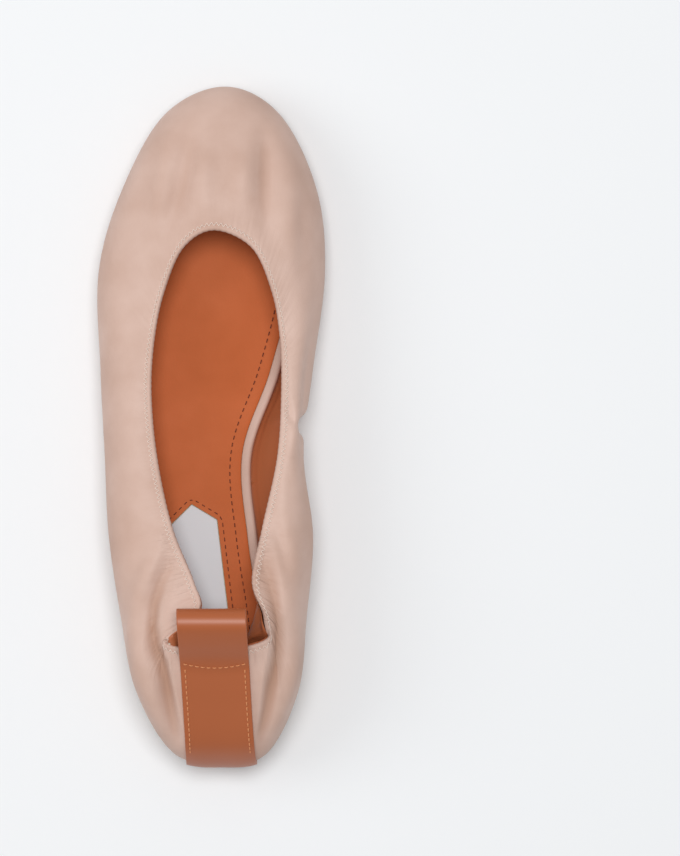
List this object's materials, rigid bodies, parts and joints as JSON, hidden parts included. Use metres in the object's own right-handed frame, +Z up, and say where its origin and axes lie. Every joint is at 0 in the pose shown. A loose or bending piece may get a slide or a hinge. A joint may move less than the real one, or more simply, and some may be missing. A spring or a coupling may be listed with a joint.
{
  "type": "ballet slipper",
  "caption": "Left-foot soft ballet slipper: gathered elastic topline, lined leather upper, wrapped insole, thin leather sole, low heel and a heel pull loop.",
  "frame": {"origin": "on the ground, under the centre of the slipper's box", "axes": "+Y to the toe, +X to the inner side of the foot, +Z up"},
  "size_m": [0.0836, 0.25, 0.0604],
  "materials": {
    "upper_leather": "satin",
    "lining_leather": "satin",
    "strap_leather": "satin",
    "sole_leather": "matte",
    "insole_board": "matte",
    "stiffener": "matte",
    "elastic_tape": "matte",
    "foam": "matte",
    "sole_rubber": "matte",
    "label_cloth": "matte",
    "steel": "satin"
  },
  "bodies": {
    "rear": {"quarters": "upper_leather", "quarter_lining": "lining_leather", "elastic_sides": "elastic_tape", "flex_leather": "upper_leather", "flex_lining": "lining_leather", "flex_elastic": "elastic_tape", "outsole_back": "sole_leather", "tread_back": "sole_rubber", "heel_lift": "sole_leather", "heel_top_piece": "sole_rubber", "heel_nails": "steel", "shank": "steel", "board_back": "insole_board", "foam_back": "foam", "wrap_back": "upper_leather", "sock_back": "lining_leather", "heel_label": "label_cloth"},
    "forefoot": {"vamp": "upper_leather", "vamp_lining": "lining_leather", "toe_puff": "stiffener", "elastic_front": "elastic_tape", "outsole_front": "sole_leather", "tread_front": "sole_rubber", "filler_front": "stiffener", "board_front": "insole_board", "foam_front": "foam", "wrap_front": "upper_leather", "sock_front": "lining_leather"},
    "heel_back": {"heel_leather": "upper_leather", "heel_lining": "lining_leather", "heel_counter": "stiffener", "elastic_back": "elastic_tape", "heel_strap": "strap_leather"},
    "pull_loop": {"pull_loop": "strap_leather"}
  },
  "joints": [
    {"name": "toe_flex", "type": "hinge", "parent": "rear", "child": "forefoot", "pos_m": [0, 0.038, 0.0105], "axis": [1, 0, 0], "range_deg": [0, 50], "stiffness_Nm_per_rad": 0.4, "deforming": ["flex_leather", "flex_lining", "flex_elastic"]},
    {"name": "heel_open", "type": "hinge", "parent": "rear", "child": "heel_back", "pos_m": [0, -0.119, 0.012], "axis": [1, 0, 0], "range_deg": [0, 25], "stiffness_Nm_per_rad": 0.3},
    {"name": "loop_swing", "type": "hinge", "parent": "heel_back", "child": "pull_loop", "pos_m": [0, -0.081, 0.0464], "axis": [1, 0, 0], "range_deg": [-5, 60], "stiffness_Nm_per_rad": 0.005}
  ]
}
